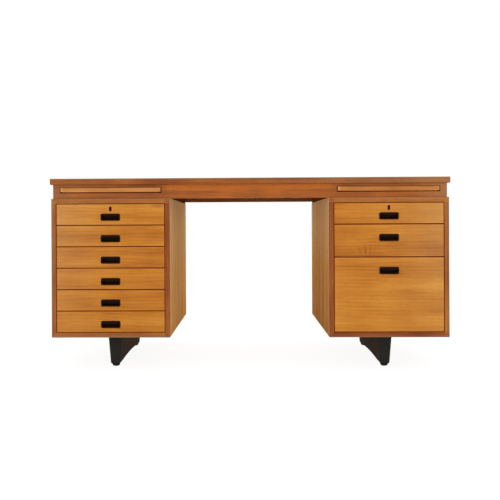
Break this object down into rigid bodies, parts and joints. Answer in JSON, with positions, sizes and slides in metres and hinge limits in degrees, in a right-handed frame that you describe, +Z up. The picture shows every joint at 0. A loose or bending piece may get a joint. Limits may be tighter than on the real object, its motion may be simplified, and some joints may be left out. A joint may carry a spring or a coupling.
{
  "type": "executive desk",
  "caption": "Wooden pedestal desk with banks of drawers either side of a kneehole, recessed black pulls, key locks, pull-out writing leaves and black sled feet.",
  "frame": {"origin": "on the floor, under the middle of the desktop", "axes": "+X to the right of someone who sits at the desk, +Y from the sitter's side to the back, +Z up"},
  "size_m": [1.55, 0.75, 0.75],
  "materials": {
    "desktop_veneer": "satin lacquered veneer",
    "lipping_wood": "satin lacquered solid wood",
    "apron_wood": "satin lacquered veneer",
    "front_veneer": "satin lacquered veneer",
    "carcass_veneer": "satin lacquered veneer",
    "drawer_wood": "plain pale wood",
    "foot_lacquer": "black lacquer",
    "black_plastic": "moulded, satin",
    "glide_plastic": "moulded, matt",
    "lock_steel": "plated"
  },
  "bodies": {
    "desk": {"desktop_panel": "desktop_veneer", "desktop_lipping": "lipping_wood", "apron_front_rail": "apron_wood", "apron_back_rail": "apron_wood", "apron_end_rails": "apron_wood", "leaf_bearers": "drawer_wood", "pedestal_lipping": "lipping_wood", "drawer_runners": "drawer_wood", "lock_strikes": "lock_steel", "foot_glides": "glide_plastic", "left_pedestal_outer_side": "carcass_veneer", "left_pedestal_inner_side": "carcass_veneer", "left_pedestal_top": "carcass_veneer", "left_pedestal_bottom": "carcass_veneer", "left_pedestal_back": "carcass_veneer", "left_foot": "foot_lacquer", "right_pedestal_outer_side": "carcass_veneer", "right_pedestal_inner_side": "carcass_veneer", "right_pedestal_top": "carcass_veneer", "right_pedestal_bottom": "carcass_veneer", "right_pedestal_back": "carcass_veneer", "right_foot": "foot_lacquer"},
    "left_leaf": {"left_leaf": "front_veneer", "left_leaf_lipping": "front_veneer"},
    "left_drawer_1": {"left_drawer_1_box": "drawer_wood", "left_drawer_1_front": "front_veneer", "left_drawer_1_pull": "black_plastic", "left_lock_case": "lock_steel", "left_keyhole_bush": "black_plastic"},
    "left_lock_bolt": {"left_lock_bolt": "lock_steel"},
    "left_drawer_2": {"left_drawer_2_box": "drawer_wood", "left_drawer_2_front": "front_veneer", "left_drawer_2_pull": "black_plastic"},
    "left_drawer_3": {"left_drawer_3_box": "drawer_wood", "left_drawer_3_front": "front_veneer", "left_drawer_3_pull": "black_plastic"},
    "left_drawer_4": {"left_drawer_4_box": "drawer_wood", "left_drawer_4_front": "front_veneer", "left_drawer_4_pull": "black_plastic"},
    "left_drawer_5": {"left_drawer_5_box": "drawer_wood", "left_drawer_5_front": "front_veneer", "left_drawer_5_pull": "black_plastic"},
    "left_drawer_6": {"left_drawer_6_box": "drawer_wood", "left_drawer_6_front": "front_veneer", "left_drawer_6_pull": "black_plastic"},
    "right_leaf": {"right_leaf": "front_veneer", "right_leaf_lipping": "front_veneer"},
    "right_drawer_1": {"right_drawer_1_box": "drawer_wood", "right_drawer_1_front": "front_veneer", "right_drawer_1_pull": "black_plastic", "right_lock_case": "lock_steel", "right_keyhole_bush": "black_plastic"},
    "right_lock_bolt": {"right_lock_bolt": "lock_steel"},
    "right_drawer_2": {"right_drawer_2_box": "drawer_wood", "right_drawer_2_front": "front_veneer", "right_drawer_2_pull": "black_plastic"},
    "right_drawer_3": {"right_drawer_3_box": "drawer_wood", "right_drawer_3_front": "front_veneer", "right_drawer_3_pull": "black_plastic"}
  },
  "joints": [
    {"name": "left_leaf_slide", "type": "slide", "parent": "desk", "child": "left_leaf", "axis": [0, -1, 0], "range_m": [0, 0.375]},
    {"name": "left_drawer_1_slide", "type": "slide", "parent": "desk", "child": "left_drawer_1", "axis": [0, -1, 0], "range_m": [0, 0.44]},
    {"name": "left_lock_throw", "type": "slide", "parent": "left_drawer_1", "child": "left_lock_bolt", "axis": [0, 0, 1], "range_m": [0, 0.008]},
    {"name": "left_drawer_2_slide", "type": "slide", "parent": "desk", "child": "left_drawer_2", "axis": [0, -1, 0], "range_m": [0, 0.44]},
    {"name": "left_drawer_3_slide", "type": "slide", "parent": "desk", "child": "left_drawer_3", "axis": [0, -1, 0], "range_m": [0, 0.44]},
    {"name": "left_drawer_4_slide", "type": "slide", "parent": "desk", "child": "left_drawer_4", "axis": [0, -1, 0], "range_m": [0, 0.44]},
    {"name": "left_drawer_5_slide", "type": "slide", "parent": "desk", "child": "left_drawer_5", "axis": [0, -1, 0], "range_m": [0, 0.44]},
    {"name": "left_drawer_6_slide", "type": "slide", "parent": "desk", "child": "left_drawer_6", "axis": [0, -1, 0], "range_m": [0, 0.44]},
    {"name": "right_leaf_slide", "type": "slide", "parent": "desk", "child": "right_leaf", "axis": [0, -1, 0], "range_m": [0, 0.375]},
    {"name": "right_drawer_1_slide", "type": "slide", "parent": "desk", "child": "right_drawer_1", "axis": [0, -1, 0], "range_m": [0, 0.44]},
    {"name": "right_lock_throw", "type": "slide", "parent": "right_drawer_1", "child": "right_lock_bolt", "axis": [0, 0, 1], "range_m": [0, 0.008]},
    {"name": "right_drawer_2_slide", "type": "slide", "parent": "desk", "child": "right_drawer_2", "axis": [0, -1, 0], "range_m": [0, 0.44]},
    {"name": "right_drawer_3_slide", "type": "slide", "parent": "desk", "child": "right_drawer_3", "axis": [0, -1, 0], "range_m": [0, 0.44]}
  ]
}
